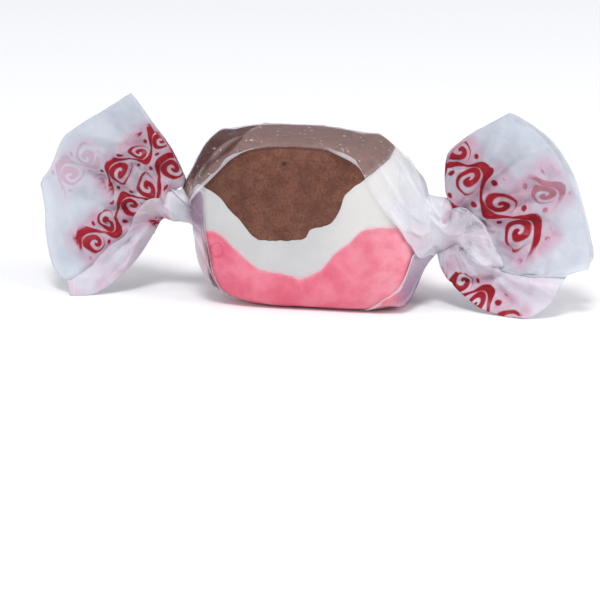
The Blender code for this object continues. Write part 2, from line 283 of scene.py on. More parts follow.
LEFT_WING = Wing(
    side=-1.0,
    root=(-20.8, -0.3, 12.7),
    neck_half=(2.0, 2.2),
    top_edge=((0.22, 122.0), (0.33, 103.0), (0.51, 88.0), (0.71, 78.0), (1.0, 71.0)),
    bottom_edge=((0.25, -56.0), (0.47, -57.0), (0.77, -52.0), (1.0, -44.5)),
    fold_edge=((0.12, 70.0), (0.16, 34.0), (0.31, -24.0), (0.54, -33.0), (0.75, -37.0)),
    rim=(
        (0.0, 17.3), (0.1, 16.8), (0.2, 17.0), (0.3, 18.0), (0.35, 18.6), (0.45, 18.7),
        (0.5, 19.0), (0.55, 19.8), (0.59, 19.2), (0.65, 18.7), (0.75, 19.0), (0.87, 19.3),
        (0.93, 18.3), (1.0, 19.2),
    ),
    sway=(-1.6, 1.2, -6.0),
    mouth=1.9,
    flap_height=1.8,
    flap_end=0.74,
    neck_length=(1.25, 1.7),
    gather_length=7.1,
    gather=(0.7, 1.85, 2.6),
    clear=(2.1, 10.5),
    bottom_haze=0.7,
    turn=120.0,
    folds=(
        ((2.2, 5.6), (5.4, 8.0), 1.6, 0.45),
        ((5.0, 8.1), (8.6, 7.4), 1.2, 0.35),
        ((4.6, 8.9), (13.6, 10.4), 1.8, 0.30),
        ((4.0, -3.6), (6.8, -9.6), 1.1, 0.40),
        ((15.8, -9.8), (9.6, -10.1), 1.3, 0.30),
        ((3.0, 0.5), (9.4, 4.6), 1.3, 0.40),
        ((6.0, -1.4), (14.5, -3.4), 1.6, -0.35),
        ((7.0, 2.0), (17.0, 6.0), 2.2, -0.40),
        ((12.0, -8.5), (16.5, 1.5), 2.4, 0.35),
    ),
    bands=(
        Band(
            (13.2, -6.6), 138.0,
            {0: (0.0, 22.0, 1.0), -1: (8.0, 22.0, 1.0), -2: (3.0, 11.0, 0.4)},
        ),
        Band((0.0, -0.8), -43.0, {0: (0.0, 6.0, 1.0)}, tint=0.55, scale=0.6),
        Band((12.0, -6.0), 128.0, {0: (0.0, 22.0, 1.0), -1: (6.0, 18.0, 1.0), 1: (6.0, 18.0, 1.0)}),
    ),
)
RIGHT_WING = Wing(
    side=1.0,
    root=(18.3, -0.3, 11.9),
    neck_half=(2.3, 3.8),
    top_edge=(
        (0.25, 86.0), (0.32, 88.0), (0.52, 87.0), (0.59, 83.0), (0.67, 77.0), (0.77, 71.0),
        (0.88, 65.0), (1.0, 60.5),
    ),
    bottom_edge=(
        (0.22, -100.0), (0.32, -93.0), (0.45, -82.0), (0.53, -75.0), (0.63, -68.0),
        (0.75, -61.0), (0.87, -52.5), (1.0, -45.0),
    ),
    fold_edge=(
        (0.14, 84.0), (0.18, 72.0), (0.23, 39.0), (0.27, 17.6), (0.32, 0.7), (0.38, -15.0),
        (0.46, -26.0), (0.53, -33.0), (0.58, -32.5), (0.69, -27.5), (0.82, -23.0), (1.0, -18.5),
    ),
    rim=(
        (0.0, 19.0), (0.1, 19.0), (0.2, 19.2), (0.3, 19.1), (0.4, 19.2), (0.5, 19.6),
        (0.6, 20.5), (0.665, 21.3), (0.70, 21.4), (0.715, 20.3), (0.73, 19.1), (0.79, 18.6),
        (0.86, 18.7), (0.93, 18.0), (1.0, 17.0),
    ),
    sway=(-2.0, 1.2, -5.0),
    mouth=2.0,
    flap_height=1.9,
    flap_end=0.58,
    neck_length=(2.4, 0.8),
    gather_length=5.7,
    gather=(0.5, 0.93, 0.7),
    clear=(6.4, 8.5),
    bottom_haze=0.95,
    turn=-120.0,
    folds=(
        ((8.9, 15.9), (7.4, 9.8), 2.0, 0.40),
        ((8.4, 14.9), (13.4, 15.0), 1.5, -0.30),
        ((12.2, 8.2), (14.4, 6.8), 1.2, 0.35),
        ((14.4, 7.2), (12.4, 1.6), 1.4, 0.40),
        ((0.6, 1.8), (3.8, -3.4), 0.9, 0.35),
        ((3.4, -3.0), (8.4, -6.3), 0.8, 0.30),
        ((6.8, -1.9), (13.8, -1.1), 0.9, 0.40),
        ((7.6, -6.4), (21.5, -7.9), 5.0, 0.95),
        ((9.4, -6.5), (1.2, -8.0), 0.8, -0.45),
        ((4.2, 7.0), (9.6, 3.2), 1.3, -0.35),
        ((11.6, 3.0), (18.6, 4.6), 2.4, -0.35),
        ((9.2, 10.0), (15.8, 12.6), 2.2, 0.30),
    ),
    bands=(
        Band(
            (-0.4, 12.3), -47.0,
            {0: (0.0, 15.9, 1.0), 1: (9.2, 13.7, 0.75), -1: (0.0, 9.6, 1.0)},
            scale=1.3,
        ),
        Band((0.4, -7.2), -29.0, {0: (0.0, 10.8, 1.0)}, tint=0.35, scale=1.15),
        Band((1.0, 10.0), -48.0, {0: (0.0, 22.0, 1.0), 1: (6.0, 18.0, 1.0), -1: (0.0, 12.0, 1.0)}),
    ),
)
FOLD_ROUNDING = 0.35
NECK_ADVANCE = 0.8
FAN_OPEN_SHARE = 0.26
FLAP_OVERLAP = 9.0
FLAP_LEAST_OVERLAP = 0.8
FLAP_FADE_SHARE = 0.22
FLAP_BORDER = ((9.3, -6.7), (0.0, -6.2))
BARE_NECK = 2.4
BACK_FOLD = 0.46
FRONT_FOLD = 0.50
WAVE_DEPTH = 0.5 * MM
WAVE_COUNT = 2.5
WAVE_POWER = 1.5
FRONT_WAVE_PHASE = 0.4
BACK_WAVE_PHASE = 2.2
SWAY_POWER = 1.3
MOUTH_POWER = 0.7
MOUTH_FULLNESS = 0.6
CRUMPLE_DEPTH = 0.07 * MM
CRUMPLE_SIZE = 2.8 * MM
FAN_CRUMPLE_DEPTH = 0.55 * MM
FAN_CRUMPLE_SIZE = 2.4
FINE_CRUMPLE = 0.35
FINE_CRUMPLE_SHARE = 2.3
CRUMPLE_LEVEL = 0.65
FRONT_SEED_PLACE = 9.0
FAN_CALM_START = 0.5
FAN_CALM_SPAN = 0.35
FAN_CALM = 0.65
FLAP_CALM = 0.85
CREASES_PER_FAN = 26


def ease(value):
    """Smooth step from 0 to 1 while the value goes from 0 to 1."""
    value = min(1.0, max(0.0, value))
    return value * value * (3.0 - 2.0 * value)


def mix(start, end, share):
    return start + (end - start) * share


def through_three(values, share):
    """Quadratic curve that takes the three values at shares 0, 0.5 and 1."""
    first = (2.0 * share - 1.0) * (share - 1.0)
    middle = 4.0 * share * (1.0 - share)
    last = share * (2.0 * share - 1.0)
    return values[0] * first + values[1] * middle + values[2] * last


def curve_value(points, position):
    """Height of a smooth curve through the points, flat beyond its ends."""
    if position <= points[0][0]:
        return points[0][1]
    last = len(points) - 1
    for index in range(last):
        (x0, y0), (x1, y1) = points[index], points[index + 1]
        if position > x1:
            continue
        before, after = points[max(index - 1, 0)], points[min(index + 2, last)]
        slope_0 = (y1 - before[1]) / (x1 - before[0])
        slope_1 = (after[1] - y0) / (after[0] - x0)
        width = x1 - x0
        share = (position - x0) / width
        square, cube = share**2, share**3
        return (
            y0 * (2.0 * cube - 3.0 * square + 1.0)
            + y1 * (3.0 * square - 2.0 * cube)
            + slope_0 * width * (cube - 2.0 * square + share)
            + slope_1 * width * (cube - square)
        )
    return points[-1][1]


def ridge_noise(point):
    """Noise with sharp ridges, from 0 in its hollows to 1 on its ridges."""
    return 1.0 - abs(noise.noise(point)) * 2.0


# Meshes

def new_piece(name, builder, slot, materials):
    """Object at the origin whose mesh comes from the builder's bmesh, riding on the root body when
    it is given a slot.
    """
    mesh = bpy.data.meshes.new(name)
    shape = bmesh.new()
    builder(shape)
    shape.to_mesh(mesh)
    shape.free()
    mesh.shade_smooth()
    for material in materials:
        mesh.materials.append(material)
    piece = bpy.data.objects.new(name, mesh)
    bpy.context.scene.collection.objects.link(piece)
    if slot:
        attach(piece, "root")
    return piece


def bake_modifiers(piece):
    """Puts the result of the modifiers into the mesh."""
    bpy.context.view_layer.update()
    graph = bpy.context.evaluated_depsgraph_get()
    made = bpy.data.meshes.new_from_object(piece.evaluated_get(graph))
    old = piece.data
    piece.modifiers.clear()
    piece.data = made
    bpy.data.meshes.remove(old)
    made.name = piece.name


# Taffy

def leaned(point):
    """Lean of the lump, which fades out towards the necks of the wrapper."""
    beyond = abs(point.x - LUMP_CENTRE.x) - LEAN_FADE_START
    weight = 1.0 - ease(beyond / LEAN_FADE)
    return Vector((point.x + LUMP_LEAN * (point.z - LUMP_CENTRE.z) * weight, point.y, point.z))


def lump_level(x, y, z):
    """Level of a place in the lump before it leans: under 1 inside and 1 at its surface."""
    along = abs(x - LUMP_CENTRE.x) / LUMP_HALF_LENGTH
    across = abs(y - LUMP_CENTRE.y) / LUMP_HALF_DEPTH
    up = abs(z - LUMP_CENTRE.z) / LUMP_HALF_HEIGHT
    upright = LUMP_TOP_ROUNDNESS if z > LUMP_CENTRE.z else LUMP_FOOT_ROUNDNESS
    level = LUMP_FACE_ROUNDNESS if y < LUMP_CENTRE.y else LUMP_BACK_ROUNDNESS
    return (along**upright + up**upright) ** (level / upright) + across**level


def reach_while(inside):
    """Farthest distance that still lies inside, found by halving."""
    near, far = 0.0, LONGEST_REACH
    for _ in range(REACH_HALVINGS):
        middle = (near + far) / 2.0
        if inside(middle):
            near = middle
        else:
            far = middle
    return near


def dented(offset):
    """Share of its size that the lump keeps at an offset from its centre."""
    dent = DENT_DEPTH * (0.5 + 0.5 * noise.noise(offset / DENT_SIZE))
    return 1.0 - dent + RIPPLE_DEPTH * noise.noise(offset / RIPPLE_SIZE)


def in_tail(point):
    """Whether a place lies in one of the pulled ends that fill the cones of paper."""
    wing = nearer_wing(point.x)
    if (wing.root.x - point.x) * wing.side < TAIL_STOP:
        return False
    away_y, away_z = cone_axis(point.x)
    away_y, away_z = away_y - point.y, point.z - away_z
    away = math.hypot(away_y, away_z)
    if away == 0.0:
        return True
    return away < tail_fill(point.x) * cone_reach(point.x, away_y / away, away_z / away)


def tail_fill(x):
    """Share of the cone of paper that is full of taffy, less near a neck, where it is pleated."""
    return mix(NECK_FILL, TAIL_FILL, ease(opened_share(x)))


@functools.cache
def lump_point(x, y, z):
    """Place on the lump for a place on the cube that it is made from."""
    direction = Vector(math.tan(part * math.pi / 4.0) for part in (x, y, z))
    direction.x *= LUMP_HALF_LENGTH
    direction.y *= LUMP_HALF_DEPTH
    direction.z *= LUMP_HALF_HEIGHT
    direction.normalize()
    reach = reach_while(lambda away: lump_level(*(LUMP_CENTRE + direction * away)) < 1.0)
    reach *= dented(direction * reach)
    tail = reach_while(
        lambda away: away < reach or in_tail(LUMP_CENTRE + direction * away)
    )
    point = leaned(LUMP_CENTRE + direction * max(reach, tail))
    press_marks(point)
    point.z = max(point.z, LUMP_FLOOR)
    return point


def press_marks(point):
    """Presses the small marks into the front of the lump."""
    if point.y > LUMP_CENTRE.y:
        return
    for x, z, radius, depth in FACE_MARKS:
        away = math.hypot(point.x - x * MM, point.z - z * MM) / (radius * MM)
        point.y += depth * MM * (1.0 - ease(away))


def build_lump(shape):
    """Cube divided into a fine grid, each point moved out to the lump's surface."""
    bmesh.ops.create_cube(shape, size=2.0)
    bmesh.ops.subdivide_edges(shape, edges=shape.edges, cuts=LUMP_CUTS, use_grid_fill=True)
    for vert in shape.verts:
        vert.co = lump_point(*vert.co)


def boundary_height(edge, ragged, x, y):
    """Height of the ragged surface between two layers, which drifts a little with the depth."""
    drift = LAYER_DRIFT * math.sin(y / DRIFT_DEPTH + x / DRIFT_LENGTH)
    depth_share = ease((y + LUMP_HALF_DEPTH) / (2.0 * LUMP_HALF_DEPTH))
    tear = ragged * noise.noise(Vector((x, y * 0.4, ragged)) / RAGGED_SIZE)
    return curve_value(edge, x / MM) * MM + drift * depth_share + tear


def block_under(edge, ragged):
    """Builder of a block that fills everything under a layer's lower edge."""

    def build(shape):
        bmesh.ops.create_grid(
            shape, x_segments=LAYER_STEPS_ALONG, y_segments=LAYER_STEPS_ACROSS, size=1.0
        )
        for vert in shape.verts:
            x, y = vert.co.x * CUTTER_HALF_LENGTH, vert.co.y * CUTTER_HALF_DEPTH
            vert.co = Vector((x, y, boundary_height(edge, ragged, x, y)))
        walls = bmesh.ops.extrude_face_region(shape, geom=shape.faces[:])
        for vert in walls["geom"]:
            if isinstance(vert, bmesh.types.BMVert):
                vert.co.z = CUTTER_BASE
        bmesh.ops.recalc_face_normals(shape, faces=shape.faces)

    return build


def cut(target, cutter, operation):
    boolean = target.modifiers.new(operation.title(), "BOOLEAN")
    boolean.operation = operation
    boolean.object = cutter
    boolean.solver = "EXACT"


def mark_seam(piece):
    """Stores how far each point lies over the strawberry layer, in millimetres."""
    over = piece.data.attributes.new("over_strawberry", "FLOAT", "POINT")
    for index, vert in enumerate(piece.data.vertices):
        x, y, z = vert.co
        seam = boundary_height(STRAWBERRY_EDGE, STRAWBERRY_RAGGED, x, y)
        over.data[index].value = (z - seam) / MM


def make_taffy():
    """Three layers that fill the lump and meet without a gap."""
    under_chocolate = new_piece(
        "under_chocolate", block_under(CHOCOLATE_EDGE, CHOCOLATE_RAGGED), None, []
    )
    under_vanilla = new_piece(
        "under_vanilla", block_under(STRAWBERRY_EDGE, STRAWBERRY_RAGGED), None, []
    )
    brown = new_material("pulled_taffy_chocolate", chocolate_taffy)
    chocolate = new_piece("taffy_chocolate", build_lump, "chocolate", [brown])
    cut(chocolate, under_chocolate, "DIFFERENCE")
    white = new_material("pulled_taffy_vanilla", vanilla_taffy)
    vanilla = new_piece("taffy_vanilla", build_lump, "vanilla", [white])
    cut(vanilla, under_chocolate, "INTERSECT")
    cut(vanilla, under_vanilla, "DIFFERENCE")
    pink = new_material("pulled_taffy_strawberry", strawberry_taffy)
    strawberry = new_piece("taffy_strawberry", build_lump, "strawberry", [pink])
    cut(strawberry, under_vanilla, "INTERSECT")
    for piece in (chocolate, vanilla, strawberry):
        bake_modifiers(piece)
        piece.data.set_sharp_from_angle(angle=CUT_ANGLE)
        mark_seam(piece)
    for cutter in (under_chocolate, under_vanilla):
        bpy.data.objects.remove(cutter, do_unlink=True)
    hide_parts("chocolate_layer")
    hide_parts("vanilla_layer")
    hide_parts("strawberry_layer")


# Wrapper

def press_creases(creases, place):
    """Lift by all the folds at a place of the flat map, and the strongest line of a fold."""
    lift, strongest = 0.0, 0.0
    for crease in creases:
        height, line = crease.at(place)
        lift += height
        strongest = max(strongest, line)
    return lift, strongest


def fan_creases(seed):
    """Folds that run out from the neck, and shorter ones across them, on a fan's flat map."""
    draw = random.Random(seed)
    creases = []
    for index in range(CREASES_PER_FAN):
        ray = math.radians(mix(-60.0, 80.0, (index + draw.uniform(0.1, 0.9)) / CREASES_PER_FAN))
        skew = math.radians(draw.uniform(-7.0, 7.0))
        near, far = draw.uniform(2.0, 7.0), draw.uniform(10.0, 19.5)
        start = (near * math.cos(ray), near * math.sin(ray))
        end = (far * math.cos(ray + skew), far * math.sin(ray + skew))
        height = draw.uniform(0.12, 0.38) * draw.choice((-1.0, 1.0))
        creases.append(Crease(start, end, draw.uniform(0.5, 1.5), height))
    for _ in range(CREASES_PER_FAN):
        ray, out = math.radians(draw.uniform(-45.0, 65.0)), draw.uniform(6.0, 17.0)
        turn, reach = draw.uniform(0.0, math.pi), draw.uniform(1.6, 4.6)
        start = (out * math.cos(ray), out * math.sin(ray))
        end = (start[0] + math.cos(turn) * reach, start[1] + math.sin(turn) * reach)
        height = draw.uniform(0.05, 0.16) * draw.choice((-1.0, 1.0))
        creases.append(Crease(start, end, draw.uniform(0.4, 0.9), height))
    return creases


# Folds of the paper on the lump, on a map of x and of the angle at DEGREE_SIZE to a degree
DEGREE_SIZE = 0.166


def body_crease(start, end, half_width, height):
    start, end = ((x, degrees * DEGREE_SIZE) for x, degrees in (start, end))
    return Crease(start, end, half_width, height, lined=True)


BODY_CREASES = [
    body_crease((-6.0, 112.0), (-7.4, 62.0), 0.7, 0.10),
    body_crease((-6.8, 67.0), (-12.9, 45.0), 0.7, 0.14),
    body_crease((-11.9, 50.0), (-19.0, 19.0), 0.7, 0.16),
    body_crease((-18.6, 4.0), (-14.4, -12.0), 0.8, 0.20),
    body_crease((-17.6, -8.0), (-13.0, -50.0), 0.8, 0.20),
    body_crease((12.0, 84.0), (17.4, 40.0), 0.9, 0.25),
    body_crease((11.0, 60.0), (16.6, 10.0), 0.9, 0.25),
    body_crease((11.6, 30.0), (16.8, -20.0), 0.8, 0.20),
    body_crease((14.0, -20.0), (17.4, -60.0), 0.9, 0.25),
    body_crease((10.0, -52.0), (16.4, -72.0), 0.8, 0.20),
]


def smooth_maximum(first, second):
    """Larger of two lengths, with the corner between them rounded."""
    blend = max(0.0, SHOULDER_BLEND - abs(first - second))
    return max(first, second) + blend**2 / (4.0 * SHOULDER_BLEND)


def nearer_wing(x):
    return LEFT_WING if x < LUMP_CENTRE.x else RIGHT_WING


def opened_share(x, neck_length=None):
    """How far the paper has opened past the straight part of the nearer neck, from 0 to 1."""
    wing = nearer_wing(x)
    if neck_length is None:
        neck_length = (wing.neck_top + wing.neck_bottom) / 2.0
    away = abs(x - wing.root.x) - neck_length
    return min(1.0, max(0.0, away / wing.gather_length))


def cone_axis(x):
    """Depth and height of the middle of the rolled sheet."""
    wing, eased = nearer_wing(x), ease(opened_share(x))
    return mix(wing.root.y, LUMP_CENTRE.y, eased), mix(wing.root.z, LUMP_CENTRE.z, eased)


def cone_reach(x, cosine, sine):
    """Distance from that middle to the cone of paper between the lump and a neck."""
    wing, opened = nearer_wing(x), opened_share(x)
    depth = opened**wing.gather_depth * CONE_FULLNESS
    half_depth = mix(wing.neck_half_depth, LUMP_HALF_DEPTH, depth)
    if sine > 0.0:
        rise = opened_share(x, wing.neck_top) ** wing.gather_top * CONE_FULLNESS
    else:
        rise = opened_share(x, wing.neck_bottom) ** wing.gather_bottom * CONE_FULLNESS
    half_height = mix(wing.neck_half_height, LUMP_HALF_HEIGHT, rise)
    level = LUMP_FACE_ROUNDNESS if cosine > 0.0 else LUMP_BACK_ROUNDNESS
    roundness = mix(NECK_ROUNDNESS, level, ease(opened))
    total = abs(cosine / half_depth) ** roundness + abs(sine / half_height) ** roundness
    return total ** (-1.0 / roundness)


def skin_reach(x, centre_y, centre_z, cosine, sine):
    """Distance from that middle to the skin of the taffy."""
    reach = reach_while(
        lambda away: lump_level(x, centre_y - cosine * away, centre_z + sine * away) < 1.0
    )
    skin = Vector((x, centre_y - cosine * reach, centre_z + sine * reach))
    return reach * dented(skin - LUMP_CENTRE)


def sleeve_point(x, angle, pleat, lift):
    """Point of the paper on the lump and its cones, its gap to the taffy and its crease line."""
    wing, eased = nearer_wing(x), ease(opened_share(x))
    cosine, sine = math.cos(angle), math.sin(angle)
    centre_y, centre_z = cone_axis(x)
    skin = skin_reach(x, centre_y, centre_z, cosine, sine)
    cone = cone_reach(x, cosine, sine)
    size = smooth_maximum(skin + PAPER_CLEARANCE, cone)
    tail = tail_fill(x) * cone if abs(x - wing.root.x) > TAIL_STOP else 0.0
    gap = size - max(skin, tail)
    degrees = (math.degrees(angle) + 90.0) % 360.0 - 90.0
    place = Vector((x / MM, degrees * DEGREE_SIZE))
    raised, line = press_creases(BODY_CREASES, place)
    crumple = CRUMPLE_DEPTH * ridge_noise(Vector((x, cosine * size, sine * size)) / CRUMPLE_SIZE)
    size = size * (1.0 + pleat * (1.0 - eased)) + lift + raised + max(0.0, crumple)
    return leaned(Vector((x, centre_y - cosine * size, centre_z + sine * size))), gap, line


def front_layout(wing, reach_share, share, top, bottom):
    """Elevation, lift and zone for a share of the front sheet, which has a lapped fold."""
    fade = 1.0 - ease((reach_share - wing.flap_end) / FLAP_FADE_SHARE + 1.0)
    fold = curve_value(wing.fold_edge, reach_share)
    fold = min(top - 2.0 * FLAP_OVERLAP, max(bottom + FLAP_OVERLAP, fold))
    lap = mix(FLAP_LEAST_OVERLAP, FLAP_OVERLAP, fade)
    under = fold - lap
    height = wing.flap_height * fade
    if share < BACK_FOLD:
        return mix(top, under, share / BACK_FOLD), 0.0, wing.front_band
    if share < FRONT_FOLD:
        part = (share - BACK_FOLD) / (FRONT_FOLD - BACK_FOLD)
        return mix(under, fold, part), height * part, BARE
    part = (share - FRONT_FOLD) / (1.0 - FRONT_FOLD)
    return mix(fold, bottom, part), height * (1.0 - part**2), wing.flap_band


def wing_point(wing, reach_share, angle, pleat, lift):
    """Point of a fan, its haze, tint and crease line, and its places on the fan and the print."""
    front = math.cos(angle) >= 0.0
    fold_share = 0.5 - math.asin(math.sin(angle)) / math.pi
    rounded = (1.0 - math.cos(math.pi * fold_share)) / 2.0
    eased = mix(fold_share, rounded, FOLD_ROUNDING)
    top = curve_value(wing.top_edge, reach_share)
    bottom = curve_value(wing.bottom_edge, reach_share)
    flap_lift, band = 0.0, wing.back_band
    elevation = mix(top, bottom, eased)
    if front:
        elevation, flap_lift, band = front_layout(wing, reach_share, fold_share, top, bottom)
        eased = (top - elevation) / (top - bottom)
    middle = math.sin(math.pi * min(1.0, max(0.0, eased)))
    phase = FRONT_WAVE_PHASE if front else BACK_WAVE_PHASE
    wave = math.sin(2.0 * math.pi * WAVE_COUNT * eased + phase) * middle
    radius = curve_value(wing.rim, eased) * reach_share
    spread = math.radians(elevation)
    flat = Vector((radius * math.cos(spread), radius * math.sin(spread)))
    sway = through_three(wing.sway, eased) * reach_share**SWAY_POWER
    opening = wing.mouth * reach_share**MOUTH_POWER * middle**MOUTH_FULLNESS + lift
    creases = wing.folds + wing.front_creases if front else wing.back_creases
    opened = ease(reach_share / FAN_OPEN_SHARE)
    raised, line = press_creases(creases, flat)
    raised *= opened
    sheet = Vector((flat.x, flat.y, FRONT_SEED_PLACE * front)) / FAN_CRUMPLE_SIZE
    fine = ridge_noise(sheet * FINE_CRUMPLE_SHARE)
    crumple = ridge_noise(sheet) + FINE_CRUMPLE * fine - CRUMPLE_LEVEL
    calm = FAN_CALM * ease((reach_share - FAN_CALM_START) / FAN_CALM_SPAN)
    if band is wing.flap_band:
        calm = max(calm, FLAP_CALM)
    raised += FAN_CRUMPLE_DEPTH * crumple * (1.0 - calm) * middle * opened
    outward = opening + raised + flap_lift
    depth = sway + WAVE_DEPTH * wave * reach_share**WAVE_POWER + (-outward if front else outward)
    fan = Vector((wing.side * flat.x * MM, depth, flat.y * MM))
    swell = 1.0 + pleat
    ring = Vector(
        (
            wing.side * radius * MM * NECK_ADVANCE,
            -math.cos(angle) * (wing.neck_half_depth * swell + lift),
            math.sin(angle) * (wing.neck_half_height * swell + lift),
        )
    )
    place, tint = band.place(flat)
    if band is RIGHT_WING.flap_band and above_border(flat) > 0.0:
        place.z = 0.0
    if flat.length < BARE_NECK and band is not LEFT_WING.flap_band:
        place.z = 0.0
    gathered = 1.0 - ease(reach_share / GATHERED_SHARE)
    # Painted light: each flap is lightened and thickened against the shade it faces down into
    if band is wing.flap_band:
        gathered = max(gathered, FLAP_PAINTED_LIGHT)
    shades = (1.0 + GATHERED_HAZE * gathered, tint, line * opened)
    return wing.root + ring.lerp(fan, opened), shades, (flat, place)


def above_border(flat):
    """How far a place of the right fan lies over the lower border of its flap."""
    start, end = (Vector(point) for point in FLAP_BORDER)
    return (flat - start).cross((end - start).normalized())


def twist(wing, x, reach_share):
    """How far the neck's twist has turned the sheet, from the lump out to the fan."""
    before = 1.0 - min(1.0, abs(x - wing.root.x) / TWIST_START)
    after = min(1.0, reach_share / TWIST_WING_SHARE)
    return math.radians(wing.turn) * ease((before + after) / 2.0)


def place_along(step):
    """Wing, place along X and share of the wing's reach at a step along the sheet."""
    body_step = step - STEPS_WING
    if body_step < 0:
        return LEFT_WING, LEFT_WING.root.x, (-body_step / STEPS_WING) ** WING_CROWDING
    if body_step > STEPS_BODY:
        reach_share = ((body_step - STEPS_BODY) / STEPS_WING) ** WING_CROWDING
        return RIGHT_WING, RIGHT_WING.root.x, reach_share
    share = body_step / STEPS_BODY
    share -= NECK_CROWDING * math.sin(2.0 * math.pi * share) / (2.0 * math.pi)
    x = mix(LEFT_WING.root.x, RIGHT_WING.root.x, share)
    return nearer_wing(x), x, 0.0


def sheet_edges(x, reach_share):
    """Angles of the sheet's two long edges, the second a full turn further on."""
    upper = curve_value(UPPER_EDGE, x / MM)
    lapped = ease(reach_share * RIM_LAP_START)
    lower = mix(curve_value(LOWER_EDGE, x / MM), upper + RIM_LAP, lapped)
    return math.radians(upper), math.radians(lower) + 2.0 * math.pi


def strip_shift(x, angle, turn_share):
    """Sideways step of the strip left of the face, which grows with its height."""
    if turn_share < 0.5:
        return 0.0
    degrees = math.degrees(angle) - 360.0
    closeness = math.exp(-(((x - STRIP_X) / STRIP_WIDTH) ** 2))
    return STRIP_SHIFT * ease((degrees - STRIP_FOOT) / STRIP_SPAN) * closeness


def sleeve_haze(x, angle, turn_share, gap):
    """Cloudiness of the paper: little where it clings, more where it is double or stands off."""
    wing, sine = nearer_wing(x), math.sin(angle)
    start = mix(wing.clear_bottom, wing.clear_top, ease(1.6 * sine - 0.15))
    neck = ease(NECK_HAZE_RISE * (1.0 - abs(x - wing.root.x) / start))
    strength = mix(wing.bottom_haze, 1.0, ease(0.7 + 2.0 * sine))
    haze = max(ease((gap / MM - HAZE_GAP) / HAZE_SPAN), neck * strength)
    double = curve_value(DOUBLE_EDGE, x / MM) - math.degrees(angle)
    if turn_share < 0.5:
        haze = max(haze, DOUBLE_HAZE * ease(double / DOUBLE_FADE))
    gathered = 1.0 - ease(abs(x - wing.root.x) / (GATHERED_PART * wing.clear_top))
    return haze + GATHERED_HAZE * gathered


def paper_point(step, turn_share):
    """Place of a point of the rolled sheet, its haze, tint and crease, and its places on maps.

    The tint is the pink of the print on the fans, and the chocolate underneath on the lump.
    """
    wing, x, reach_share = place_along(step)
    start, end = sheet_edges(x, reach_share)
    angle = mix(start, end, turn_share)
    turned = angle + twist(wing, x, reach_share)
    folds = math.pi * GATHER_PLEATS * turn_share
    folds += PLEAT_UNEVENNESS * math.sin(6.0 * math.pi * turn_share)
    pleat = GATHER_PLEAT_DEPTH * (1.0 - abs(math.sin(folds)) * 2.0)
    gape = SEAM_GAPE * math.exp(-(((x - GAPE_X) / GAPE_WIDTH) ** 2))
    lift = (SEAM_LIFT + gape) * (1.0 - ease((turn_share - SEAM_LAP) / SEAM_FALL))
    if reach_share > 0.0:
        point, shades, (flat, place) = wing_point(wing, reach_share, turned, pleat, lift)
    else:
        x += strip_shift(x, angle, turn_share)
        point, gap, line = sleeve_point(x, turned, pleat, lift)
        haze = sleeve_haze(x, angle, turn_share, gap)
        flat, place = Vector((0.0, 0.0)), Vector((0.0, 0.0, 0.0))
        layer = boundary_height(CHOCOLATE_EDGE, 0.0, point.x, point.y)
        shades = (haze, ease((point.z - layer) / GLOW_FADE), line)
    point.z = max(point.z, LOWEST_PAPER)
    return point, shades, (Vector((flat.x, flat.y, turn_share)), place)


def build_paper(shape):
    """Flat grid laid out as the sheet and rolled up, with its values and maps stored."""
    steps_along = STEPS_BODY + 2 * STEPS_WING
    bmesh.ops.create_grid(shape, x_segments=steps_along, y_segments=STEPS_ROUND, size=1.0)
    values = [shape.verts.layers.float.new(name) for name in ("haze", "tint", "crease")]
    maps = [shape.verts.layers.float_vector.new(name) for name in ("fan_place", "print_place")]
    for vert in shape.verts:
        step = round((vert.co.x + 1.0) / 2.0 * steps_along)
        turn_share = (vert.co.y + 1.0) / 2.0
        vert.co, shades, places = paper_point(step, turn_share)
        for layer, value in zip(values + maps, shades + places):
            vert[layer] = value


def make_wrapper():
    """Rolled sheet of waxed paper with its true thinness, printed on the outside."""
    for seed, wing in ((11, LEFT_WING), (23, RIGHT_WING)):
        wing.front_creases = fan_creases(seed)
        wing.back_creases = fan_creases(seed + 1)
    papers = [
        new_material("waxed_paper_printed", waxed_paper, True),
        new_material("waxed_paper_inside", waxed_paper, False),
    ]
    wrapper = new_piece("wrapper_paper", build_paper, "waxed_paper", papers)
    wall = wrapper.modifiers.new("Wall", "SOLIDIFY")
    wall.thickness = PAPER_THICKNESS
    wall.offset = 1.0
    wall.use_even_offset = False
    wall.material_offset = 1
    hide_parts("wrapper")


# Materials

# Which setting of a node the second word of its kind gives
WORD_SETS = {
    "Math": "operation",
    "VectorMath": "operation",
    "MapRange": "interpolation_type",
    "Mix": "data_type",
    "TexVoronoi": "feature",
    "Attribute": "attribute_name",
}
CLOUD_ROUGHNESS = 0.55


def linear(hex_colour):
    """sRGB hex colour as linear RGBA."""
    parts = [int(hex_colour[index : index + 2], 16) / 255.0 for index in (1, 3, 5)]
    return [
        part / 12.92 if part <= 0.04045 else ((part + 0.055) / 1.055) ** 2.4 for part in parts
    ] + [1.0]


def node(tree, kind, *inputs, named=None, output=None):
    """Adds a node such as "Math ADD" and sets or links its inputs, in order or by name.

    Inputs and outputs that its setting switches off aren't counted. The first output is the
    result unless another is named.
    """
    kind, _, word = kind.partition(" ")
    made = tree.nodes.new("ShaderNode" + kind)
    if word:
        setattr(made, WORD_SETS[kind], word)
    pairs = list(zip([socket for socket in made.inputs if socket.enabled], inputs))
    pairs += [(made.inputs[name], value) for name, value in (named or {}).items()]
    for socket, value in pairs:
        if isinstance(value, bpy.types.NodeSocket):
            tree.links.new(value, socket)
        else:
            socket.default_value = value
    if output:
        return made.outputs[output]
    return next((socket for socket in made.outputs if socket.enabled), None)


def new_material(name, surface, *choices):
    """Material whose surface a function builds in its empty node tree."""
    material = bpy.data.materials.new(name)
    material.use_nodes = True
    tree = material.node_tree
    tree.nodes.clear()
    node(tree, "OutputMaterial", surface(tree, *choices))
    return material


